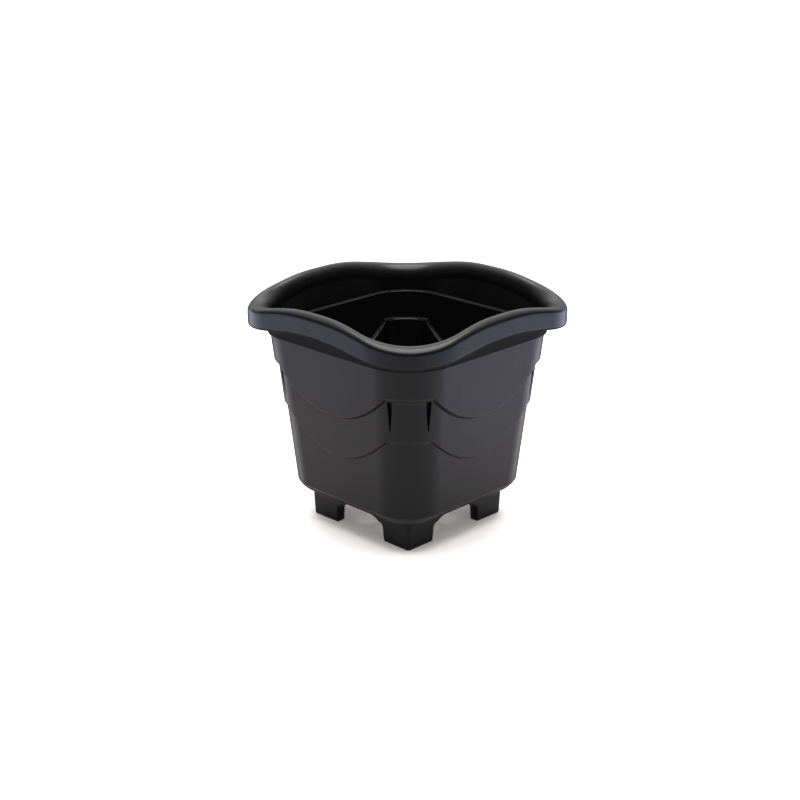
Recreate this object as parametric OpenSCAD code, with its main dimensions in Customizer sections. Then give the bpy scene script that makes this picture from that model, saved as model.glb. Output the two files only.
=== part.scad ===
// Square plastic florist bucket: a tapering tub with draped steps on its four sides,
// a wavy rolled rim with a hanging skirt, a drained floor and four L-shaped corner feet.
// Sides are parallel to X and Y. The origin is at the bottom centre, with the feet on Z = 0.

/* [Overall] */
// Height from the ground to the top of the rim at the middle of a side
total_h = 200; // [180:1:230]
// Width of the rim across two opposite sides
rim_w = 217; // [205:1:240]
// Thickness of the moulded wall
wall_t = 2.5; // [2:0.1:3]

/* [Tub wall] */
// Height of the joint between the tub and the rim
ledge_z = 165; // [160:1:168]
// Width of the tub at that joint
tub_top_w = 184; // [176:1:188]
// Radius of the tub's upright corners
tub_corner_r = 40; // [34:1:44]
// Inward lean of each side for one millimetre of height
draft = 0.083; // [0.05:0.001:0.1]

/* [Draped steps] */
// Height of the upper step line at the corners
upper_line_z = 139.5; // [134:0.5:144]
// How far the wall steps in below the upper line
upper_step_d = 3.1; // [1.5:0.1:3.5]
// Height over which the upper step slopes in on a side
upper_step_h = 3; // [2:0.5:6]
// Height of the lower step line at the corners
lower_line_z = 103; // [98:0.5:108]
// How far the wall steps in below the lower line
lower_step_d = 2; // [1:0.1:3]
// Height over which the lower step slopes in on a side
lower_step_h = 2.4; // [2:0.1:5]
// How many times taller both slopes are at the corners
corner_step = 2.15; // [1:0.05:2.5]
// How far both step lines sag at the middle of a side
swag_drop = 28; // [10:1:32]
// Distance from the middle of a side at which the sag ends
swag_reach = 61; // [52:1:64]

/* [Corner grooves] */
// Angle of each groove from the side's own direction, around the corner
groove_turn = 21; // [16:1:26]
// Width of a groove at its top
groove_w = 5; // [3:0.1:6]
// Length of a groove from its top to its point
groove_h = 25; // [15:1:28]
// Depth of a groove below the wall's surface
groove_d = 4; // [2:0.5:5]

/* [Base and feet] */
// Height of the underside of the tub
base_z = 22.5; // [18:0.1:28]
// Width of the underside at the foot of the rounded edge
base_w = 118; // [114:1:124]
// Height of the rounded edge between the wall and the underside
base_round_h = 12.8; // [8:0.1:16]
// Fullness of that edge: 1 is a flat bevel and 2 an elliptical curve
base_round_power = 1.24; // [1.1:0.02:2]
// Thickness of the floor
floor_t = 2.7; // [2:0.1:4]
// Width across two feet on the ground
feet_w = 113; // [108:1:116]
// Thickness of each leg of a foot
leg_t = 8.5; // [6:0.5:10]
// Half of the gap between two feet on the ground
foot_gap = 27; // [24:1:34]

/* [Drain holes] */
// Diameter of each drain hole
drain_d = 5.5; // [4:0.5:5.5]
// Radius of the ring of drain holes
drain_ring_r = 34; // [20:1:44]
// Number of holes in the ring
drain_count = 8; // [4:1:12]

/* [Rim] */
// Radius of the rim's corners in plan
rim_corner_r = 52.5; // [48:0.5:56]
// Width of the rolled lip
lip_w = 12; // [11:0.5:14]
// How far the top of the rim dips at the corners
rim_dip = 10.6; // [0:0.1:13]
// Width of the lip's inner fall, from its crest to the inside of the rim
lip_fall_w = 7; // [6:0.5:8]
// Height of that fall
lip_fall_h = 13; // [6:0.5:15]
// Height of the skirt's lower edge at the middle of a side
skirt_z = 181; // [178:0.5:184]
// How far the skirt's lower edge dips at the corners
skirt_dip = 9; // [0:0.5:10]

/* [Hidden] */

black = [0.16, 0.16, 0.17];
flat_steps = 14;                  // stations along each straight side
arc_steps = 14;                   // stations around each corner
lip_turn = 22.5;                  // degrees between points of the rolled lip
round_steps = 5;                  // stretches of the rounded base edge
rim_half = rim_w / 2;
base_half = base_w / 2;
base_corner_r = 6;
base_turn_in = 3.5;               // width of the tub's flat underside
floor_half = base_half - base_turn_in;
floor_z = base_z + floor_t;
band_overhang = 2;                // the rim's band stands this far out from the tub
band_half = tub_top_w / 2 + band_overhang;
band_h = 3;                       // height of the band's upright part
upper_swag_power = 2.2;           // a larger power gives a flatter middle and steeper ends
lower_swag_power = 2;
ledge_rise = 3.5;                 // inside, each step's ledge lies this far above its line
groove_top_z = upper_line_z - 1.4;
boss_t = 2;                       // wall left behind a groove
boss_margin = 1.6;                // how much wider than the groove its boss is on each side
skirt_edge = 0.5;                 // bevel on the skirt's lower edge
lip_inset = 0.2;                  // keeps the faceted lip just inside its round
foot_edge = 1.4;                  // rounding of a foot's outer edges
foot_toe = 1.7;                   // rounding of a foot's ends on the ground
foot_inner_r = 2;                 // inner corner of an L-shaped foot
spring_z = 0.71 * base_z;         // height at which an arch leaves a leg
shoulder_r = 3.5;                 // round between a leg and its arch
arch_flat = 4;                    // half width of the arch's flat crown
fit_gap = 0.2;                    // keeps the floor plate and feet clear of the tub
eps = 0.5;

// ---------------------------------------------------------------- stations around a rounded square

// A station is [side, fraction along the straight part, angle round the corner after it].
STATIONS = [for (side = [0:3])
    each concat([for (i = [0:flat_steps]) [side, 2 * i / flat_steps - 1, 0]],
                [for (j = [1:arc_steps - 1]) [side, 1, 90 * j / arc_steps]])];

// Angle to the nearer of the two sides that meet at a corner
function from_side(angle) = min(angle, 90 - angle);

// Point at a station on a rounded square of the given half width and corner radius
function outline_point(st, half, r, z) =
    let (out = half - r + r * cos(st[2]),
         along = (half - r) * st[1] + r * sin(st[2]),
         a = 90 * st[0])
    [out * cos(a) - along * sin(a), out * sin(a) + along * cos(a), z];

// Distance of a station from the middle of its side, measured along the side
function side_reach(st, half, r) = (half - r) * abs(st[1]) + r * sin(from_side(st[2]));

// Share of the way from the middle of a side (0) to the middle of a corner (1)
function corner_share(st) =
    let (straight = rim_half - rim_corner_r, arc = rim_corner_r * PI / 4)
    (straight * abs(st[1]) + arc * from_side(st[2]) / 45) / (straight + arc);

function mix(a, b, share) = a + (b - a) * share;

// Solid ring: each station carries a closed loop of points, joined to the next station's loop
module skin(loops) {
    n = len(loops);
    m = len(loops[0]);
    polyhedron(
        points = [for (loop = loops) each loop],
        faces = [for (i = [0:n - 1], j = [0:m - 1])
            let (a = i * m, b = ((i + 1) % n) * m, k = (j + 1) % m)
            each [[a + j, b + k, a + k], [a + j, b + j, b + k]]]);
}

// ---------------------------------------------------------------- tub

function tub_half(z) = tub_top_w / 2 - draft * (ledge_z - z);

// Point on the tub wall, set in by a distance from its uppermost face
function wall_point(st, z, inset) =
    outline_point(st, tub_half(z) - inset, tub_corner_r - inset, z);

function swag(st, power) =
    let (reach = side_reach(st, tub_half(upper_line_z), tub_corner_r))
    swag_drop * (1 - pow(min(1, reach / swag_reach), power));

function upper_z(st) = upper_line_z - swag(st, upper_swag_power);
function lower_z(st) = lower_line_z - swag(st, lower_swag_power);

// Rounded edge from the wall down to the underside, top first: a superellipse
function base_edge(st, z, inset, z_low, half_low) =
    [for (i = [0:round_steps])
        let (turn = 90 * i / round_steps,
             share = 1 - pow(cos(turn), 2 / base_round_power),
             drop = pow(sin(turn), 2 / base_round_power),
             half = mix(tub_half(z) - inset, half_low, share),
             r = mix(tub_corner_r - inset, base_corner_r, share))
        outline_point(st, half, r, mix(z, z_low, drop))];

// How many times taller a step is at a station: 1 on the sides, more between the corner grooves
function step_scale(st) =
    let (share = min(1, max(0, from_side(st[2]) / 12 - 1)))
    mix(1, corner_step, share);

// Soft step in, centred on its line, top first
function soft_step(st, z, side_h, inset, d) =
    let (h = side_h * step_scale(st))
    [wall_point(st, z + 0.5 * h, inset),
     wall_point(st, z + 0.25 * h, inset + 0.15 * d),
     wall_point(st, z - 0.25 * h, inset + 0.85 * d),
     wall_point(st, z - 0.5 * h, inset + d)];

function tub_loop(st) =
    let (d1 = upper_step_d, d2 = d1 + lower_step_d, edge_z = base_z + base_round_h,
         upper_in = upper_z(st) + ledge_rise, lower_in = lower_z(st) + ledge_rise,
         inner_edge = base_edge(st, edge_z + 1.5, d2 + wall_t, floor_z, floor_half + 0.5))
    concat(
        [wall_point(st, ledge_z, 0)],
        soft_step(st, upper_z(st), upper_step_h, 0, d1),
        soft_step(st, lower_z(st), lower_step_h, d1, lower_step_d),
        base_edge(st, edge_z, d2, base_z, base_half),
        [outline_point(st, floor_half, base_corner_r, base_z),
         outline_point(st, floor_half, base_corner_r, floor_z - 0.3)],
        [for (i = [round_steps - 1:-1:0]) inner_edge[i]],
        [wall_point(st, lower_in, d2 + wall_t),
         wall_point(st, lower_in, d1 + wall_t),
         wall_point(st, upper_in, d1 + wall_t),
         wall_point(st, upper_in, wall_t),
         wall_point(st, ledge_z, wall_t)]);

// Wedge that points down, in the frame of the corner at +X +Y, from a shallow to a deep radius.
// The margin widens it into the boss that closes the groove on the inside.
module groove_wedge(turn, shallow, deep, top_z, margin) {
    tip_z = groove_top_z - groove_h - 2 * margin;
    top_c = tub_half(top_z) - tub_corner_r;
    tip_c = tub_half(tip_z) - tub_corner_r;
    half_turn = (groove_w / 2 + margin) / tub_corner_r * 180 / PI;
    slight = half_turn / 8 + margin;
    function at(c, r, a, z) = [c + r * cos(a), c + r * sin(a), z];
    polyhedron(
        points = [
            at(top_c, shallow, turn - half_turn, top_z), at(top_c, shallow, turn + half_turn, top_z),
            at(top_c, deep, turn + half_turn, top_z), at(top_c, deep, turn - half_turn, top_z),
            at(tip_c, shallow, turn - slight, tip_z), at(tip_c, shallow, turn + slight, tip_z),
            at(tip_c, deep, turn + slight, tip_z), at(tip_c, deep, turn - slight, tip_z)],
        faces = [
            for (q = [[0, 1, 2, 3], [7, 6, 5, 4], [0, 4, 5, 1],
                      [1, 5, 6, 2], [2, 6, 7, 3], [3, 7, 4, 0]])
            each [[q[0], q[2], q[1]], [q[0], q[3], q[2]]]]);
}

module at_each_groove() {
    for (corner = [0:3], turn = [groove_turn, 90 - groove_turn])
        rotate([0, 0, 90 * corner]) {
            $turn = turn;
            children();
        }
}

module body_shell() {
    face_r = tub_corner_r - upper_step_d;
    color(black) difference() {
        union() {
            skin([for (st = STATIONS) tub_loop(st)]);
            at_each_groove()
                groove_wedge($turn, face_r - wall_t + 1, face_r - groove_d - boss_t,
                             upper_line_z + ledge_rise, boss_margin);
        }
        at_each_groove() groove_wedge($turn, face_r + 6, face_r - groove_d, groove_top_z, 0);
    }
}

// ---------------------------------------------------------------- rim

function corner_wave(st) = (1 - cos(180 * corner_share(st))) / 2;
function crest_z(st) = total_h - rim_dip * pow(corner_wave(st), 1.4);
function skirt_low_z(st) = skirt_z - skirt_dip * corner_wave(st);

// Every outline of the rim has the same corner radius, so the lip is wider at the corners
function rim_point(st, inset, z) =
    outline_point(st, rim_half - inset, rim_corner_r, z);

// Round over the lip: 0 degrees is its outer side, 90 its crest and 180 its inner side
function lip_arc(st, inset, first, last, step) =
    let (r = lip_w / 2 - inset)
    [for (a = [first:step:last])
        rim_point(st, lip_w / 2 - r * cos(a), crest_z(st) - lip_w / 2 + r * sin(a))];

// Longer fall from just inside the crest to the inside of the rim: a quarter of an ellipse
function lip_fall(st) =
    [for (a = [90 + lip_turn:lip_turn:180])
        rim_point(st, lip_w / 2 - (lip_fall_w - lip_inset) * cos(a),
                  crest_z(st) - lip_fall_h + (lip_fall_h - lip_inset) * sin(a))];

function rim_loop(st) =
    let (low = skirt_low_z(st), inner_r = tub_corner_r - 0.5)
    concat(
        [rim_point(st, wall_t - skirt_edge, low),
         rim_point(st, skirt_edge, low),
         rim_point(st, 0, low + 2 * skirt_edge)],
        lip_arc(st, lip_inset, 0, 90, lip_turn),
        lip_fall(st),
        [outline_point(st, tub_top_w / 2 - 0.5, inner_r, ledge_z + 2.6),
         outline_point(st, tub_top_w / 2 - wall_t, inner_r - 2, ledge_z + 2),
         wall_point(st, ledge_z, wall_t),
         outline_point(st, band_half, tub_corner_r + band_overhang, ledge_z),
         outline_point(st, band_half + 0.2, tub_corner_r + band_overhang, ledge_z + band_h)],
        lip_arc(st, wall_t + lip_inset, 180, 0, -2 * lip_turn));

module rim_collar() {
    color(black) skin([for (st = STATIONS) rim_loop(st)]);
}

// ---------------------------------------------------------------- floor

module floor_plate() {
    half = floor_half - fit_gap;
    r = base_corner_r - fit_gap;
    color(black) translate([0, 0, base_z]) difference() {
        union() {
            translate([-half, -half + r, 0])
                cube([2 * half, 2 * (half - r), floor_t]);
            translate([-half + r, -half, 0])
                cube([2 * (half - r), 2 * half, floor_t]);
            for (x = [-1, 1], y = [-1, 1])
                translate([x * (half - r), y * (half - r), 0])
                    cylinder(h = floor_t, r = r, $fn = 48);
        }
        translate([0, 0, -eps]) {
            cylinder(h = floor_t + 2 * eps, d = drain_d, $fn = 32);
            for (i = [0:drain_count - 1])
                rotate([0, 0, 360 * (i + 0.5) / drain_count])
                    translate([drain_ring_r, 0, 0])
                        cylinder(h = floor_t + 2 * eps, d = drain_d, $fn = 32);
        }
    }
}

// ---------------------------------------------------------------- feet

// Outer face of a foot, from the ground up to the tub, and a plain inner face
function foot_loop(st) =
    let (half = feet_w / 2, inner = half - leg_t)
    [outline_point(st, inner, foot_inner_r, 0),
     outline_point(st, half - foot_edge, 1.4, 0),
     outline_point(st, half - 0.3 * foot_edge, 2.2, 0.3 * foot_edge),
     outline_point(st, half, 2.6, foot_edge),
     outline_point(st, half + 0.7, 3, 0.6 * base_z),
     outline_point(st, half + 1, 3.6, 0.8 * base_z),
     outline_point(st, half + 1.5, 4.6, 0.93 * base_z),
     outline_point(st, base_half - fit_gap, 5.8, base_z),
     outline_point(st, inner - 1, foot_inner_r, base_z)];

// Outline of the opening between two feet: rounded toes, upright legs, rounded shoulders and a shallow arch
function arch_outline() =
    let (leg = foot_gap - 0.4,
         low_leg = foot_gap + 0.3,
         arch_start = foot_gap - shoulder_r - 0.8,
         toe = [[low_leg + foot_toe, -eps], [low_leg + foot_toe, 0],
                [low_leg + 0.3 * foot_toe, 0.3 * foot_toe], [low_leg, foot_toe]],
         shoulder = [for (a = [0:22.5:67.5])
             [leg - shoulder_r + shoulder_r * cos(a), spring_z - shoulder_r + shoulder_r * sin(a)]],
         arch = [for (i = [0:8])
             [mix(arch_start, arch_flat, i / 8), mix(base_z + fit_gap, spring_z, pow(1 - i / 8, 2))]],
         half_outline = concat(toe, shoulder, arch))
    concat(half_outline,
           [for (i = [len(half_outline) - 1:-1:0]) [-half_outline[i][0], half_outline[i][1]]]);

module arch_cut() {
    rotate([90, 0, 0])
        linear_extrude(height = base_w + 20, center = true)
            polygon(arch_outline());
    translate([-base_half, -arch_flat, base_z - 0.8])
        cube([base_w, 2 * arch_flat, 2]);
}

// The foot at the corner given by the signs of x and y
module corner_foot(x, y) {
    color(black) intersection() {
        difference() {
            skin([for (st = STATIONS) foot_loop(st)]);
            arch_cut();
            rotate([0, 0, 90]) arch_cut();
        }
        translate([x > 0 ? 0 : -base_half, y > 0 ? 0 : -base_half, 0]) cube([base_half, base_half, base_z]);
    }
}

module foot_front_left() corner_foot(-1, -1);
module foot_front_right() corner_foot(1, -1);
module foot_back_right() corner_foot(1, 1);
module foot_back_left() corner_foot(-1, 1);

body_shell();
rim_collar();
floor_plate();
foot_front_left();
foot_front_right();
foot_back_right();
foot_back_left();
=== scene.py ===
import math

import bmesh
import bpy
import numpy as np
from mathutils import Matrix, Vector


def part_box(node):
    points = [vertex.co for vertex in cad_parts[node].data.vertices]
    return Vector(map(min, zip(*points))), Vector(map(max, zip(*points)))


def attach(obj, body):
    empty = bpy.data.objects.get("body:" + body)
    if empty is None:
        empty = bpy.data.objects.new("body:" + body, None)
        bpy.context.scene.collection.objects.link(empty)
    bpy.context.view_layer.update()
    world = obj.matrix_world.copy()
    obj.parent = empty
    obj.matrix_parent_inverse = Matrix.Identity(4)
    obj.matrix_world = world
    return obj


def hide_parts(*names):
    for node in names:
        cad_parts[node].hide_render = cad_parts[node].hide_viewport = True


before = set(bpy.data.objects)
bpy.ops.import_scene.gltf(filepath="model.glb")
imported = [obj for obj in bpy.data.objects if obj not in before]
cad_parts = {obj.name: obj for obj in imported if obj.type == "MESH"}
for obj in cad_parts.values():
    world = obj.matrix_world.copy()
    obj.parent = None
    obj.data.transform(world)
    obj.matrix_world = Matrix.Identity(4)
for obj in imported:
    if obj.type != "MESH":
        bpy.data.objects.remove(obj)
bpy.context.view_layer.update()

# A square flower bucket of black plastic: a tapering wall with two draped steps and a pair of
# wedge grooves at each corner, a wavy rolled rim, a drained floor and four L-shaped feet.

# ------------------------------------------------------------------ sizes, in millimetres
MM = 0.001

# Taken from the frame
BODY_LOW, BODY_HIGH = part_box("body_shell")
RIM_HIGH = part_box("rim_collar")[1]
FLOOR_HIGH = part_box("floor_plate")[1]
FOOT_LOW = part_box("foot_front_right")[0]
RIM_HALF = RIM_HIGH.x / MM
RIM_TOP = RIM_HIGH.z / MM
LEDGE_Z = BODY_HIGH.z / MM
TUB_TOP_HALF = BODY_HIGH.x / MM
BASE_Z = BODY_LOW.z / MM
FLOOR_HALF = FLOOR_HIGH.x / MM
FLOOR_TOP = FLOOR_HIGH.z / MM
SOLE_Z = FOOT_LOW.z / MM

# Wall
WALL_T = 2.5
TUB_CORNER_R = 40
DRAFT = 0.083  # how far the wall leans in for each millimetre down

# Draped steps: each goes in below a line, which hangs from the corners along each side
UPPER_LINE_Z = 139.5
UPPER_STEP_D = 3.1
UPPER_STEP_H = 3
UPPER_POWER = 2.2
LOWER_LINE_Z = 103
LOWER_STEP_D = 2
LOWER_STEP_H = 2.4
LOWER_POWER = 2
BOTH_STEPS_D = UPPER_STEP_D + LOWER_STEP_D
CORNER_STEP = 2.15  # how many times taller the steps are round a corner
STEP_GROWS = 12  # degrees past a side where a step starts to grow, and over which it does
SWAG_DROP = 28
SWAG_REACH = 61  # from the middle of a side to where its lines turn level

# Wedge grooves, two at each corner
GROOVE_TURN = 21  # degrees from the side to the groove's middle
GROOVE_CENTRES = (GROOVE_TURN, 90 - GROOVE_TURN)
GROOVE_CLEAR = 5.2  # degrees beside a groove's middle with no plain columns
GROOVE_TOP_DROP = 1.4  # from the upper line down to the groove
GROOVE_TOP_Z = UPPER_LINE_Z - GROOVE_TOP_DROP
GROOVE_W = 5
GROOVE_TIP_W = GROOVE_W / 8
GROOVE_H = 25
GROOVE_D = 4
GROOVE_RIM_D = 0.28  # depth of the soft edge round the groove
GROOVE_RIM_W = 0.3
GROOVE_TIP_D = 0.3
GROOVE_TIP_RUN = 0.4
GROOVE_R = TUB_CORNER_R - UPPER_STEP_D
GROOVE_LEAST = 0.04  # least distance of a column from the middle, as a share of the half width
# Columns on each side of a groove: distance past its edge, which is negative inside, and depth
GROOVE_COLUMNS = [
    (-9, GROOVE_D),
    (-0.32, GROOVE_D),
    (-0.1, GROOVE_D - 0.25),
    (0.0, GROOVE_RIM_D),
    (0.1, 0.07),
    (0.3, 0.0),
    (0.9, 0.0)]

# Bosses inside the wall, behind the grooves
BOSS_T = 2
BOSS_MARGIN = 1.6
BOSS_TAIL = 3.2  # below the groove's tip
BOSS_COLUMNS = 4

# Lower edge of the wall, rounded outside and inside
BASE_HALF = 59
BASE_CORNER_R = 6
BASE_ROUND_H = 12.8
BASE_POWER = 1.24
BASE_STEPS = 26
EDGE_Z = BASE_Z + BASE_ROUND_H
INNER_BASE_HALF = BASE_HALF - 3.5
FLOOR_SEAT = 0.3
INNER_EDGE_RISE = 1.5
INNER_EDGE_GAP = 0.5

# Plain rows of the wall: where they start or end
PLAIN_ABOVE_LINE = 3.4  # above the upper line
PLAIN_ABOVE_EDGE = 0.3  # above the rounded edge, outside
PLAIN_INSIDE_EDGE = 2.2  # above the rounded edge, inside

# Ledges inside the wall, above the steps outside it
LEDGE_RISE = 3.5
LEDGE_ROUND = 1.2
LEDGE_FILLET = 0.4
HAIR = 0.01  # keeps rows and columns apart that would coincide

# Rim
RIM_CORNER_R = 52.5
RIM_DIP = 10.6
RIM_DIP_POWER = 1.4
LIP_R = 6
LIP_FALL_W = 7
LIP_FALL_H = 13
SKIRT_Z = 181
SKIRT_DIP = 9
SKIRT_EDGE_R = 0.9
SKIRT_EDGE_INSET = 0.2
SKIRT_EDGE_H = 1.2
# Foot of the rim, from inside to outside: distance past the wall's outer face, change of the
# corner's radius, and height above the ledge. From MATT_START on, the surface is matt.
RIM_FOOT = [
    (-0.5, -0.5, 2.6),
    (-1.3, -1.3, 2.15),
    (-2.2, -2.3, 2.0),
    (-WALL_T, -WALL_T, 1.6),
    (-WALL_T, -WALL_T, 0.0),
    (0.0, 0.0, 0.0),
    (1.6, 1.6, 0.0),
    (1.92, 1.9, 0.12),
    (2.0, 2.0, 0.5),
    (2.0, 2.0, 0.8),
    (2.2, 2.0, 3.0)]
MATT_START = 9

# Floor
FLOOR_CORNER_R = 5.8
FLOOR_BEVEL = 0.3
DRAIN_R = 2.75
DRAIN_RING_R = 34
DRAIN_COUNT = 8
DRAIN_POINTS = 40

# Feet: each has a leg and an arched flare on both of its sides
FEET_HALF = 56.5
FOOT_INNER_HALF = FEET_HALF - 8.5
FOOT_INNER_R = 2
FOOT_GAP = 27  # from the middle of a side to the leg
FOOT_EDGE = 1.4
FOOT_TOE = 1.7
FOOT_FLARE_T = 4  # height of the flare below which its edge is rounded less
LEG_TOP_X = FOOT_GAP - 0.4
LEG_LOW_X = FOOT_GAP + 0.3
ARCH_START_X = 4
ARCH_SPRING_Z = 0.71 * BASE_Z
ARCH_END_GAP = 0.8  # from the flare's curve to the round shoulder
FLARE_RISE = 0.2  # above the base, where the flare's curve starts
FLARE_LEAST = 0.12  # below the base, where the flare is first thick enough to make
SHOULDER_R = 3.5
# Outline of a foot: share of its height, half width, and corner radius
FOOT_OUTLINE = [
    (0, FEET_HALF, 2.6),
    (0.6, FEET_HALF + 0.7, 3),
    (0.8, FEET_HALF + 1, 3.6),
    (0.93, FEET_HALF + 1.5, 4.6),
    (1, BASE_HALF - 0.2, 5.8)]
# Quarter turns that take a foot to its corner
FOOT_TURNS = {"foot_front_left": 2, "foot_front_right": 3, "foot_back_right": 0, "foot_back_left": 1}


# ------------------------------------------------------------------ small helpers
def mix(a, b, share):
    return a + (b - a) * share


def soft(share):
    share = np.clip(share, 0, 1)
    return share * share * (3 - 2 * share)


def between(first, last, count):
    """Evenly spaced rows between two rows, without those two."""
    return [mix(first, last, share) for share in np.linspace(0, 1, count + 2)[1:-1]]


def arc(first, last, count):
    """Evenly spaced angles in radians, from first to last in degrees."""
    return [math.radians(angle) for angle in np.linspace(first, last, count)]


class Stations:
    """Points in order round a rounded square.

    Each has its side, its place on the straight part of that side from -1 to 1, its angle round
    the corner after it, and a mark for its maker's own use.
    """

    def __init__(self, flats, angles, marks=None):
        marks = marks or [0] * len(angles)
        places = [(flat, 0, 0) for flat in flats]
        places += [(1, angle, mark) for angle, mark in zip(angles, marks)]
        table = np.array([(side, *place) for side in range(4) for place in places], float)
        self.side, self.flat, self.angle, self.mark = table.T
        self.count = len(table)

    def place(self, out, along, z):
        """Points so far out from the middle, along each station's side, and up."""
        turn = np.radians(90 * self.side)
        x = out * np.cos(turn) - along * np.sin(turn)
        y = out * np.sin(turn) + along * np.cos(turn)
        return np.stack([x, y, np.broadcast_to(z, (self.count,))], 1)

    def point(self, half, r, z):
        """Points on an outline with this half width and corner radius."""
        angle = np.radians(self.angle)
        straight = half - r
        return self.place(straight + r * np.cos(angle), straight * self.flat + r * np.sin(angle), z)

    def from_side(self):
        """Degrees round the corner from the nearer side."""
        return np.minimum(self.angle, 90 - self.angle)

    def reach(self, half, r):
        """Distance from the middle of the nearer side, seen from in front of it."""
        return (half - r) * np.abs(self.flat) + r * np.sin(np.radians(self.from_side()))

    def corner_share(self):
        """Share of the way along the rim, from the middle of a side to the middle of a corner."""
        straight = RIM_HALF - RIM_CORNER_R
        half_corner = RIM_CORNER_R * math.pi / 4
        way = straight * np.abs(self.flat) + half_corner * self.from_side() / 45
        return way / (straight + half_corner)


def link(name, data):
    ob = bpy.data.objects.new(name, data)
    bpy.context.scene.collection.objects.link(ob)
    return ob


def new_mesh(name, points, faces):
    """A mesh from points in millimetres."""
    mesh = bpy.data.meshes.new(name)
    mesh.from_pydata((points * MM).reshape(-1, 3).tolist(), [], faces)
    mesh.validate()
    return mesh


def ring_mesh(name, rows, matt=()):
    """A closed ring of quads from profile rows, each an array of points round the ring.

    The last row joins the first. matt holds the numbers of the rows with a matt surface.
    """
    grid = np.stack(rows, 1)
    count, depth = grid.shape[:2]
    faces = []
    for i in range(count):
        here = i * depth
        there = (i + 1) % count * depth
        for j in range(depth):
            k = (j + 1) % depth
            faces.append((here + j, here + k, there + k, there + j))
    mesh = new_mesh(name, grid, faces)
    layer = mesh.attributes.new("matt", "FLOAT", "POINT")
    layer.data.foreach_set("value", [float(j in matt) for j in range(depth)] * count)
    mesh.update()
    return link(name, mesh)


def finish_normals(ob, sharp_angle=32):
    """Faces that look outwards and shade smoothly, except across sharp edges."""
    bm = bmesh.new()
    bm.from_mesh(ob.data)
    bmesh.ops.recalc_face_normals(bm, faces=bm.faces)
    bm.to_mesh(ob.data)
    bm.free()
    ob.data.polygons.foreach_set("use_smooth", [True] * len(ob.data.polygons))
    ob.data.set_sharp_from_angle(angle=math.radians(sharp_angle))
    ob.data.update()


# ------------------------------------------------------------------ tub
def tub_half(z):
    return TUB_TOP_HALF - DRAFT * (LEDGE_Z - z)


def groove_half(z):
    share = np.clip((GROOVE_TOP_Z - z) / GROOVE_H, 0, 1)
    return mix(GROOVE_W, GROOVE_TIP_W, share) / 2


def groove_depth(z):
    """The deepest that a groove may be at this height, with soft ends."""
    drop = GROOVE_TOP_Z - z
    if drop <= -GROOVE_RIM_W or drop >= GROOVE_H + GROOVE_TIP_RUN:
        return 0.0
    if drop < 0:
        return GROOVE_RIM_D * (1 + drop / GROOVE_RIM_W)
    if drop < GROOVE_RIM_W:
        return mix(GROOVE_RIM_D, GROOVE_D, drop / GROOVE_RIM_W)
    if drop > GROOVE_H:
        return GROOVE_TIP_D * (1 - (drop - GROOVE_H) / GROOVE_TIP_RUN)
    return GROOVE_D


def swag(reach, line_z, power):
    """Height of a draped line at these distances from the middle of a side."""
    return line_z - SWAG_DROP * (1 - np.minimum(1, reach / SWAG_REACH) ** power)


def step_inset(z, line, step_h, step_d):
    """How far a soft step has gone in at height z. Half of the step is above its line."""
    return step_d * soft((line + step_h / 2 - z) / step_h)


def tub_stations():
    """Stations with closer columns at the grooves.

    A groove's columns carry marks: their numbers in GROOVE_COLUMNS, counted from 1, and negative
    on the first side of the groove. The middle column is there once.
    """
    marks = [*range(-len(GROOVE_COLUMNS), -1), *range(1, len(GROOVE_COLUMNS) + 1)]
    columns = [(angle, 0) for angle in np.linspace(0, 90, 61)[1:-1]
               if min(abs(angle - centre) for centre in GROOVE_CENTRES) > GROOVE_CLEAR]
    columns += [(centre + HAIR * mark, mark) for centre in GROOVE_CENTRES for mark in marks]
    return Stations(np.linspace(-1, 1, 61), *zip(*sorted(columns)))


def outer_drops():
    """Heights of the rows between the two lines, as drops below the upper line.

    They are close together across the steps and at the ends of the grooves.
    """
    tip = GROOVE_TOP_DROP + GROOVE_H
    lower = UPPER_LINE_Z - LOWER_LINE_Z
    return [
        -3.3, -2.8, -2.3, -1.9, -1.5, -1.15, -0.8, -0.5, -0.2, 0.1, 0.4, 0.7, 1.0, 1.2,
        GROOVE_TOP_DROP, GROOVE_TOP_DROP + 0.1, GROOVE_TOP_DROP + 0.3,
        2.1, 2.6, 3.1, 3.6, 4.1, 4.6, 5.1, 5.5, 6.0,
        *np.linspace(7.5, tip - 1, 16),
        tip, tip + 0.2, tip + 0.4, 28.5, 31,
        *[lower - rise for rise in (3, 2.6, 2.2, 1.8, 1.5, 1.2, 0.9, 0.6, 0.3)]]


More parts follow.
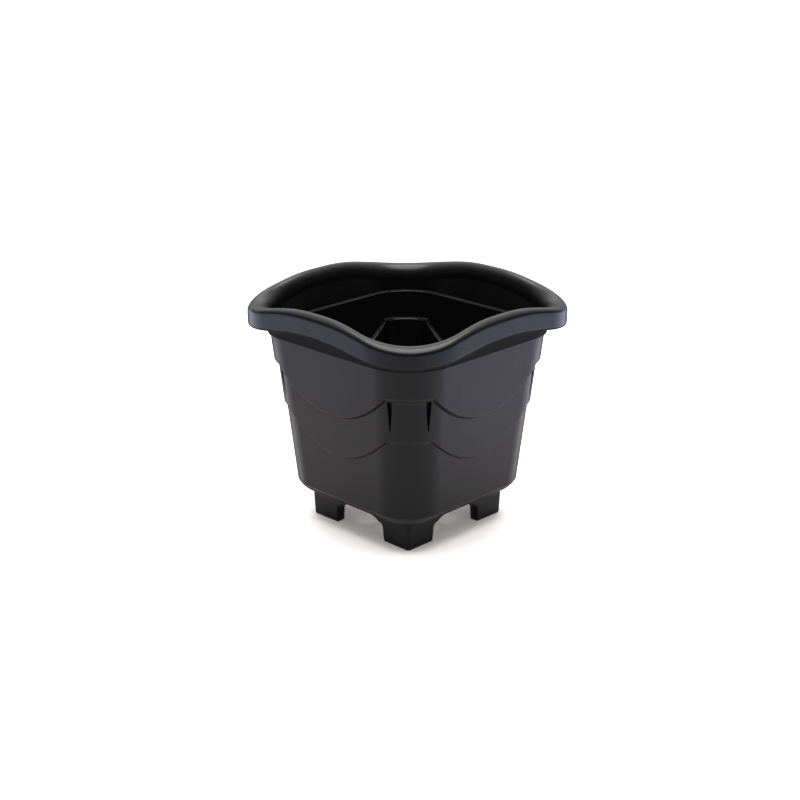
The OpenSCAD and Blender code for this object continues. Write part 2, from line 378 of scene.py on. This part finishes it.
class TubWall:
    """Rows of points round the wall, outside and inside."""

    def __init__(self):
        self.st = tub_stations()
        self.grooved = self.st.mark != 0
        self.side_of_groove = np.sign(self.st.mark)
        self.centre = np.where(self.st.angle < 45, *GROOVE_CENTRES)
        self.level = np.where(self.grooved, np.abs(self.st.mark) - 1, 0).astype(int)
        self.past, depth = np.array(GROOVE_COLUMNS)[self.level].T
        self.column_depth = np.where(self.grooved, depth, 0)
        reach = self.st.reach(tub_half(UPPER_LINE_Z), TUB_CORNER_R)
        self.upper = swag(reach, UPPER_LINE_Z, UPPER_POWER)
        self.lower = swag(reach, LOWER_LINE_Z, LOWER_POWER)
        self.taller = mix(1, CORNER_STEP, soft(self.st.from_side() / STEP_GROWS - 1))

    def groove_z(self, z):
        """Height of a row at the grooves, where every row is level."""
        return float(np.max(z[self.grooved]))

    def dug(self, half, r, depth, z, margin=0.0):
        """A row with its groove columns moved in by depth, and margin past the groove's edge."""
        w = groove_half(self.groove_z(z)) + margin
        least = GROOVE_LEAST * w * (1 + self.level)
        reach = np.where(self.past < -1, 0.0, np.maximum(w + self.past, least))
        moved = self.centre + np.degrees(self.side_of_groove * reach / GROOVE_R)
        angle = np.radians(np.where(self.grooved, moved, self.st.angle))
        r_here = np.where(self.grooved, r - depth, r)
        straight = half - r
        out = straight + r_here * np.cos(angle)
        along = straight * self.st.flat + r_here * np.sin(angle)
        return self.st.place(out, along, z)

    def outer(self, z):
        inset = step_inset(z, self.upper, UPPER_STEP_H * self.taller, UPPER_STEP_D)
        inset = inset + step_inset(z, self.lower, LOWER_STEP_H * self.taller, LOWER_STEP_D)
        depth = np.minimum(self.column_depth, groove_depth(self.groove_z(z)))
        return self.dug(tub_half(z) - inset, TUB_CORNER_R - inset, depth, z)

    def inner(self, z, inset):
        half = tub_half(z) - inset - WALL_T
        r = TUB_CORNER_R - inset - WALL_T
        boss_low = GROOVE_TOP_Z - GROOVE_H - BOSS_TAIL
        has_boss = boss_low < self.groove_z(z) <= UPPER_LINE_Z + LEDGE_RISE
        boss = max(0, r - (GROOVE_R - GROOVE_D - BOSS_T)) if has_boss else 0
        depth = np.where(self.grooved & (self.level < BOSS_COLUMNS), boss, 0)
        return self.dug(half, r, depth, z, BOSS_MARGIN)

    def base(self, turn, z_high, inset, z_low, half_low):
        """A row of the rounded lower edge, from its top at turn 0 to its bottom at 90 degrees."""
        share = 1 - math.cos(turn) ** (2 / BASE_POWER)
        drop = math.sin(turn) ** (2 / BASE_POWER)
        half = mix(tub_half(z_high) - inset, half_low, share)
        r = mix(TUB_CORNER_R - inset, BASE_CORNER_R, share)
        return self.st.point(half, r, mix(z_high, z_low, drop))

    def ledge(self, z, inset_low, inset_high):
        """A round over a ledge's free edge, its flat, and a fillet against the wall above."""
        rows = []
        for turn in arc(0, 90, 7):
            inset = inset_low - LEDGE_ROUND * (1 - math.cos(turn))
            rows.append(self.inner(z - LEDGE_ROUND * (1 - math.sin(turn)), inset))
        for turn in arc(0, 90, 4):
            inset = inset_high + LEDGE_FILLET * (1 - math.sin(turn))
            rows.append(self.inner(z + HAIR + LEDGE_FILLET * (1 - math.cos(turn)), inset))
        return rows

    def outside(self):
        """Rows from the top edge down to the rounded lower edge."""
        top = np.full(self.st.count, LEDGE_Z)
        heights = [top - HAIR, *between(top, self.upper + PLAIN_ABOVE_LINE, 8)]
        gap = UPPER_LINE_Z - LOWER_LINE_Z
        heights += [mix(self.upper, self.lower, drop / gap) for drop in outer_drops()]
        heights += [self.lower - drop for drop in (0.0, 0.3, 0.6, 0.9, 1.2, 1.5, 1.8, 2.2, 2.6, 3.0)]
        low_start = heights[-1]
        low_end = EDGE_Z + PLAIN_ABOVE_EDGE
        heights += [mix(low_start, low_end, share) for share in np.linspace(0, 1, 14)[1:]]
        return [self.outer(z) for z in heights]

    def lower_edge(self):
        """The rounded edge outside, the wall's underside, and the rounded edge inside."""
        turns = arc(0, 90, BASE_STEPS + 1)
        rows = [self.base(turn, EDGE_Z, BOTH_STEPS_D, BASE_Z, BASE_HALF) for turn in turns]
        for share in (0.3, 0.65, 1):
            rows.append(self.st.point(mix(BASE_HALF, INNER_BASE_HALF, share), BASE_CORNER_R, BASE_Z))
        rows.append(self.st.point(INNER_BASE_HALF, BASE_CORNER_R, FLOOR_TOP - FLOOR_SEAT))
        inset = BOTH_STEPS_D + WALL_T
        half = INNER_BASE_HALF + INNER_EDGE_GAP
        for turn in turns[-2::-1]:
            rows.append(self.base(turn, EDGE_Z + INNER_EDGE_RISE, inset, FLOOR_TOP, half))
        return rows

    def inside(self):
        """Rows from the rounded edge up to the top edge, with two ledges."""
        lower = self.lower + LEDGE_RISE
        upper = self.upper + LEDGE_RISE
        below_ledge = LEDGE_ROUND + 0.3
        above_ledge = 0.8
        start = np.full(self.st.count, EDGE_Z + PLAIN_INSIDE_EDGE)
        rows = []
        for share in np.linspace(0, 1, 10)[1:]:
            rows.append(self.inner(mix(start, lower - below_ledge, share), BOTH_STEPS_D))
        rows += self.ledge(lower, BOTH_STEPS_D, UPPER_STEP_D)
        for share in (0.03, 0.2, 0.4, 0.6, 0.8, 0.97):
            z = mix(lower + above_ledge, upper - below_ledge, share)
            rows.append(self.inner(z, UPPER_STEP_D))
        rows += self.ledge(upper, UPPER_STEP_D, 0)
        for share in (0.05, 0.25, 0.5, 0.75, 1):
            rows.append(self.inner(mix(upper + above_ledge, LEDGE_Z - HAIR, share), 0))
        return rows


def build_tub():
    wall = TubWall()
    return ring_mesh("tub_wall", wall.outside() + wall.lower_edge() + wall.inside())


# ------------------------------------------------------------------ rim
def build_rim():
    """The skirt, the rolled lip over it, and the flared band under the lip."""
    st = Stations(np.linspace(-1, 1, 61), np.linspace(0, 90, 57)[1:-1])
    wave = (1 - np.cos(np.pi * st.corner_share())) / 2
    crest = RIM_TOP - RIM_DIP * wave ** RIM_DIP_POWER
    lip_z = crest - LIP_R
    low = SKIRT_Z - SKIRT_DIP * wave
    under_r = LIP_R - WALL_T

    def rim(inset, z):
        return st.point(RIM_HALF - inset, RIM_CORNER_R, z)

    foot = [st.point(TUB_TOP_HALF + past, TUB_CORNER_R + r, LEDGE_Z + up) for past, r, up in RIM_FOOT]
    under = [rim(LIP_R - under_r * math.cos(t), lip_z + under_r * math.sin(t)) for t in arc(180, 0, 19)]

    rows = []
    for t in arc(-90, 90, 9):
        inset = SKIRT_EDGE_INSET + SKIRT_EDGE_R * (1 - math.sin(t))
        rows.append(rim(inset, low + SKIRT_EDGE_R * (1 - math.cos(t))))
    edge_rows = len(rows)
    rows += between(rim(0, low + SKIRT_EDGE_H), rim(0, lip_z), 10)
    for t in arc(0, 90, 19):
        rows.append(rim(LIP_R * (1 - math.cos(t)), lip_z + LIP_R * math.sin(t)))
    for t in arc(90, 180, 25)[1:]:
        rows.append(rim(LIP_R - LIP_FALL_W * math.cos(t), crest - LIP_FALL_H * (1 - math.sin(t))))
    rows += between(rows[-1], foot[0], 10)
    matt_start = len(rows) + MATT_START
    rows += foot
    rows += between(foot[-1], under[0], 8)
    rows += under
    rows += between(rim(WALL_T, lip_z), rim(WALL_T, low + SKIRT_EDGE_H), 7)
    return ring_mesh("rolled_rim", rows, [*range(edge_rows), *range(matt_start, len(rows))])


# ------------------------------------------------------------------ floor
def build_floor():
    """A plate with bevelled edges and a ring of drain holes round a middle one."""
    curve = bpy.data.curves.new("floor_outline", "CURVE")
    curve.dimensions = "2D"
    curve.fill_mode = "BOTH"
    curve.extrude = ((FLOOR_TOP - BASE_Z) / 2 - FLOOR_BEVEL) * MM
    curve.bevel_depth = FLOOR_BEVEL * MM
    curve.bevel_resolution = 2

    def loop(points):
        spline = curve.splines.new("POLY")
        spline.points.add(len(points) - 1)
        for p, (x, y) in zip(spline.points, points):
            p.co = (x * MM, y * MM, 0, 1)
        spline.use_cyclic_u = True

    def circle(x, y, r, turns):
        return [(x + r * math.cos(t), y + r * math.sin(t)) for t in turns]

    st = Stations([-1, 1], np.linspace(0, 90, 13)[1:-1])
    loop(st.point(FLOOR_HALF - FLOOR_BEVEL, FLOOR_CORNER_R, 0.0)[:, :2].tolist())
    ring = [2 * math.pi * (i + 0.5) / DRAIN_COUNT for i in range(DRAIN_COUNT)]
    turns = [2 * math.pi * i / DRAIN_POINTS for i in range(DRAIN_POINTS)]
    for x, y in [(0, 0), *circle(0, 0, DRAIN_RING_R, ring)]:
        loop(circle(x, y, DRAIN_R + FLOOR_BEVEL, turns))

    holder = link("floor_outline", curve)
    bpy.context.view_layer.update()
    depsgraph = bpy.context.evaluated_depsgraph_get()
    mesh = bpy.data.meshes.new_from_object(holder.evaluated_get(depsgraph))
    bpy.data.objects.remove(holder)
    mesh.name = "drained_floor"
    for v in mesh.vertices:
        v.co.z += (FLOOR_TOP + BASE_Z) / 2 * MM
    return link("drained_floor", mesh)


# ------------------------------------------------------------------ feet
def arch_path():
    """Lower edge of a foot, from the thin end of its flare to the ground.

    Each point is a distance from the middle of the side, and a height.
    """
    points = []
    for share in np.linspace(0, 1, 24):
        x = mix(ARCH_START_X, FOOT_GAP - SHOULDER_R - ARCH_END_GAP, share)
        z = mix(BASE_Z + FLARE_RISE, ARCH_SPRING_Z, share * share)
        if z < BASE_Z - FLARE_LEAST:
            points.append((x, z))
    middle_x = LEG_TOP_X - SHOULDER_R
    middle_z = ARCH_SPRING_Z - SHOULDER_R
    for t in arc(80, 10, 8):
        points.append((middle_x + SHOULDER_R * math.cos(t), middle_z + SHOULDER_R * math.sin(t)))
    for share in np.linspace(0, 1, 6):
        points.append((mix(LEG_TOP_X, LEG_LOW_X, share), mix(middle_z, FOOT_TOE, share)))
    for angle in (20, 40, 60, 75, 90):
        t = math.radians(angle)
        x = LEG_LOW_X + FOOT_TOE * (1 - math.cos(t))
        points.append((x, SOLE_Z + FOOT_TOE * (1 - math.sin(t))))
    return np.array(points)


def foot_stations():
    """Sections along a foot, round the corner after the side that faces +X.

    Each has its side, 0 or 1, its place along that side, which is None on the corner, its angle
    round the corner, the height of its lower edge, and that edge's normal into the foot.
    """
    path = arch_path()
    steps = np.gradient(path, axis=0)
    steps /= np.linalg.norm(steps, axis=1, keepdims=True)
    first = [(0, x, 0.0, z, (-dz, dx)) for (x, z), (dx, dz) in zip(path, steps)]
    for x in np.linspace(FOOT_GAP + 4, FOOT_INNER_HALF - 2.5, 8):
        first.append((0, x, 0.0, SOLE_Z, (0.0, 1.0)))
    corner = [(0, None, angle, SOLE_Z, (0.0, 1.0)) for angle in np.linspace(0, 90, 15)]
    second = [(1, -x, 0.0, z, (-nx, nz)) for _, x, _, z, (nx, nz) in reversed(first)]
    return first + corner + second


def foot_section(side, x, angle, z0, normal):
    """A closed loop of points round a foot's section: its sole, outer face, top and inner face."""
    loop = []
    thin = min(1.0, (BASE_Z - z0) / FOOT_FLARE_T)
    shares, halves, radii = zip(*FOOT_OUTLINE)

    def add(half, r, z, shift=0.0):
        out, along = half, x
        if x is None:
            t = math.radians(angle)
            out = half - r + r * math.cos(t)
            along = half - r + r * math.sin(t)
        else:
            along = x + normal[0] * shift * thin
        loop.append((out, along, z) if side == 0 else (-along, out, z))

    def add_inner(inset, z, shift=0.0):
        add(FOOT_INNER_HALF + inset, FOOT_INNER_R, z, shift)

    def add_outer(inset, z, shift):
        half = float(np.interp(z / BASE_Z, shares, halves))
        add(half - inset, float(np.interp(z / BASE_Z, shares, radii)), z, shift)

    edge = []
    for round_angle in (0, 22, 45, 68, 90):
        t = math.radians(round_angle)
        edge.append((FOOT_EDGE * (1 - math.sin(t)), FOOT_EDGE * (1 - math.cos(t))))
    for inset, lift in reversed(edge):
        add_inner(inset * thin, z0 + lift * normal[1] * thin, lift)
    for inset, lift in edge:
        add_outer(inset * thin, z0 + lift * normal[1] * thin, lift)
    z_low = z0 + FOOT_EDGE * normal[1] * thin
    for share in (0.15, 0.3, 0.45, 0.6, 0.7, 0.8, 0.87, 0.93, 1.0):
        add_outer(0, mix(z_low, BASE_Z, share), FOOT_EDGE * (1 - share))
    add_inner(-1, BASE_Z)
    for share in (0.66, 0.33):
        add_inner(-share, mix(z_low, BASE_Z, share), FOOT_EDGE * (1 - share))
    return loop


def build_foot(name, turn):
    """One L-shaped foot, moved round by so many quarter turns."""
    grid = np.array([foot_section(*station) for station in foot_stations()])
    count, depth = grid.shape[:2]
    faces = []
    for i in range(count - 1):
        here = i * depth
        there = here + depth
        for j in range(depth):
            k = (j + 1) % depth
            faces.append((here + j, here + k, there + k, there + j))
    faces.append(tuple(reversed(range(depth))))
    faces.append(tuple(range((count - 1) * depth, count * depth)))
    t = math.radians(90 * turn)
    rotation = np.array([
        [math.cos(t), -math.sin(t), 0],
        [math.sin(t), math.cos(t), 0],
        [0, 0, 1]])
    return link(name, new_mesh(name, grid @ rotation.T, faces))


# ------------------------------------------------------------------ materials
PLASTIC_IOR = 1.49
MATT_ROUGHER = 0.6  # how much rougher the matt rows of the rim are
EDGE_STARTS = 0.6  # the gloss dulls from here to EDGE_ENDS, as the surface turns away
EDGE_ENDS = 0.95
EDGE_ROUGHER = 0.45
ROUGH_VARIES = 0.03
COLOUR_VARIES = 0.15
BLACK = (0.0020, 0.0019, 0.0021)
FLOOR_BLACK = (0.0030, 0.0030, 0.0031)


def feed(tree, node, inputs):
    """Set a node's sockets: each takes a value, or a link from another node's output."""
    for socket, value in inputs.items():
        if isinstance(value, bpy.types.NodeSocket):
            tree.links.new(value, node.inputs[socket])
        else:
            node.inputs[socket].default_value = value


def add_node(tree, kind, inputs, output, **settings):
    """The named output of a new shader node."""
    node = tree.nodes.new("ShaderNode" + kind)
    for name, value in settings.items():
        setattr(node, name, value)
    feed(tree, node, inputs)
    return node.outputs[output]


def ramp(tree, value, start, end, low=0.0, high=1.0, shape="SMOOTHSTEP"):
    """A value that goes from low to high as another goes from start to end."""
    inputs = {"Value": value, "From Min": start, "From Max": end, "To Min": low, "To Max": high}
    return add_node(tree, "MapRange", inputs, "Result", interpolation_type=shape)


def blend(tree, share, first, second):
    inputs = {"Factor": share, "A": (*first, 1), "B": (*second, 1)}
    return add_node(tree, "Mix", inputs, "Result", data_type="RGBA")


def plastic(name, colour, roughness, specular):
    """Moulded plastic: fine grain, soft flow waves, and small changes of colour and gloss."""
    material = bpy.data.materials.new(name)
    material.use_nodes = True
    tree = material.node_tree
    coordinates = add_node(tree, "TexCoord", {}, "Object")

    def noise(scale, detail, rough=0.5, stretch=(1, 1, 1)):
        place = add_node(tree, "Mapping", {"Vector": coordinates, "Scale": stretch}, "Vector")
        inputs = {"Vector": place, "Scale": scale, "Detail": detail, "Roughness": rough}
        return add_node(tree, "TexNoise", inputs, "Fac")

    def bump(height, strength, distance, under=None):
        inputs = {"Height": height, "Strength": strength, "Distance": distance}
        if under:
            inputs["Normal"] = under
        return add_node(tree, "Bump", inputs, "Normal")

    darker = [c * (1 - COLOUR_VARIES) for c in colour]
    lighter = [c * (1 + COLOUR_VARIES) for c in colour]
    low = roughness - ROUGH_VARIES
    high = roughness + ROUGH_VARIES
    patchy = ramp(tree, noise(60, 4, 0.6), 0.3, 0.7, low, high, "LINEAR")
    matt = add_node(tree, "Attribute", {}, "Fac", attribute_name="matt")
    inputs = {0: matt, 1: MATT_ROUGHER, 2: patchy}
    with_matt = add_node(tree, "Math", inputs, "Value", operation="MULTIPLY_ADD")
    turned_away = add_node(tree, "LayerWeight", {"Blend": 0.5}, "Facing")
    duller = ramp(tree, turned_away, EDGE_STARTS, EDGE_ENDS, 0.0, EDGE_ROUGHER)
    grain = bump(noise(2600, 2), 0.06, 0.0002)
    feed(tree, tree.nodes["Principled BSDF"], {
        "Base Color": blend(tree, noise(28, 3), darker, lighter),
        "Roughness": add_node(tree, "Math", {0: with_matt, 1: duller}, "Value", operation="ADD"),
        "IOR": PLASTIC_IOR,
        "Specular IOR Level": specular,
        "Normal": bump(noise(38, 2, 0.4, (1, 1, 0.6)), 0.3, 0.0006, grain)})
    return material


shell_plastic = plastic("satin_black", BLACK, 0.32, specular=0.12)
rim_plastic = plastic("semi_gloss_black", BLACK, 0.28, specular=0.14)
floor_plastic = plastic("matt_black", FLOOR_BLACK, 0.45, specular=0.12)
foot_plastic = plastic("satin_black_feet", BLACK, 0.40, specular=0.12)

# ------------------------------------------------------------------ pieces
pieces = [
    (build_tub(), "body_shell", shell_plastic, "satin_shell"),
    (build_rim(), "rim_collar", rim_plastic, "polished_rim"),
    (build_floor(), "floor_plate", floor_plastic, "satin_floor")]
for node, turn in FOOT_TURNS.items():
    pieces.append((build_foot("corner_" + node, turn), node, foot_plastic, "satin_feet"))

for ob, node, material, slot in pieces:
    finish_normals(ob)
    ob.data.materials.append(material)
    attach(ob, "root")
    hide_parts(node)

# ------------------------------------------------------------------ studio, in metres
VIEW_AZIMUTH = math.radians(44.2)

TABLE_HALF = 20.0
# The table is painted paler near the part and darker away from it: painted shade that dims what the
# plastic reflects of the far table. It also glows, faintly near the part and strongly towards the
# viewer's left and right: painted light that lifts the shadows round the part and brightens and blues
# the reflections in the sides. Each has two colours, and the two distances between which the first
# turns into the second.
TABLE_COLOURS = ((0.49, 0.466, 0.466), (0.27, 0.275, 0.29))
TABLE_DISTANCES = (0.35, 0.7)
GLOW_COLOURS = ((0.2, 0.19, 0.19), (1.3, 1.32, 2.2))
GLOW_DISTANCES = (0.17, 0.64)
GLOW_MIDDLE = -0.09

# The surround's brightness towards the viewer, and overhead and behind the part
FRONT_LIGHT = 0.13
BACK_LIGHT = 2.9
# The brightest direction, as the viewer sees it, and the cosines to it between which it changes
BRIGHTEST = (0, 0.35, 0.937)
LIGHT_TURNS = (0.25, 0.9)
SUN_DIRECTION = (0.0, 0.03, 1)
SUN_STRENGTH = 9.2
SUN_ANGLE = 57

CAMERA_AWAY = -1.242
CAMERA_UP = 0.546
CAMERA_TILT = 0.3427
CAMERA_PAN = 0.005
CAMERA_LENS = 70.56
CAMERA_SENSOR = 36


def seen(right, away, up):
    """A place or direction as the viewer sees it: to the right, away and up."""
    c = math.cos(VIEW_AZIMUTH)
    s = math.sin(VIEW_AZIMUTH)
    return (right * c - away * s, right * s + away * c, up)


def build_table():
    h = TABLE_HALF
    mesh = bpy.data.meshes.new("studio_floor")
    mesh.from_pydata([(-h, -h, 0), (h, -h, 0), (h, h, 0), (-h, h, 0)], [], [(0, 1, 2, 3)])
    material = bpy.data.materials.new("white_table")
    material.use_nodes = True
    tree = material.node_tree
    place = add_node(tree, "TexCoord", {}, "Object")
    distance = add_node(tree, "VectorMath", {0: place}, "Value", operation="LENGTH")
    inputs = {0: place, 1: seen(1, 0, 0)}
    right = add_node(tree, "VectorMath", inputs, "Value", operation="DOT_PRODUCT")
    shifted = add_node(tree, "Math", {0: right, 1: GLOW_MIDDLE}, "Value", operation="SUBTRACT")
    sideways = add_node(tree, "Math", {0: shifted}, "Value", operation="ABSOLUTE")
    # Painted shade: the table's colour darkens away from the part. Painted light: its glow lifts the
    # shadows and lights the reflections in the sides.
    feed(tree, tree.nodes["Principled BSDF"], {
        "Base Color": blend(tree, ramp(tree, distance, *TABLE_DISTANCES), *TABLE_COLOURS),
        "Emission Color": blend(tree, ramp(tree, sideways, *GLOW_DISTANCES), *GLOW_COLOURS),
        "Emission Strength": 1,
        "Roughness": 0.7,
        "Specular IOR Level": 0.2})
    mesh.materials.append(material)
    link("studio_floor", mesh)


def light_surround():
    """A plain surround that the camera sees as white. It is dim towards the viewer."""
    world = bpy.data.worlds.new("studio")
    bpy.context.scene.world = world
    world.use_nodes = True
    tree = world.node_tree
    direction = add_node(tree, "TexCoord", {}, "Generated")
    inputs = {0: direction, 1: seen(*BRIGHTEST)}
    cosine = add_node(tree, "VectorMath", inputs, "Value", operation="DOT_PRODUCT")
    camera_ray = add_node(tree, "LightPath", {}, "Is Camera Ray")
    light = ramp(tree, cosine, *LIGHT_TURNS, FRONT_LIGHT, BACK_LIGHT)
    strength = add_node(tree, "Mix", {"Factor": camera_ray, "A": light, "B": 1}, "Result")
    feed(tree, tree.nodes["Background"], {"Color": (1, 1, 1, 1), "Strength": strength})


def add_overhead_light():
    light = bpy.data.lights.new("overhead", "SUN")
    light.energy = SUN_STRENGTH
    light.angle = math.radians(SUN_ANGLE)
    toward = Vector(seen(*SUN_DIRECTION))
    link("overhead", light).rotation_euler = toward.to_track_quat("Z", "Y").to_euler()


def add_camera():
    lens = bpy.data.cameras.new("camera")
    lens.lens = CAMERA_LENS
    lens.sensor_width = CAMERA_SENSOR
    camera = link("camera", lens)
    camera.location = seen(0, CAMERA_AWAY, CAMERA_UP)
    camera.rotation_euler = (math.pi / 2 - CAMERA_TILT, 0, VIEW_AZIMUTH + CAMERA_PAN)
    bpy.context.scene.camera = camera


build_table()
light_surround()
add_overhead_light()
add_camera()
bpy.context.scene.view_settings.view_transform = "Standard"
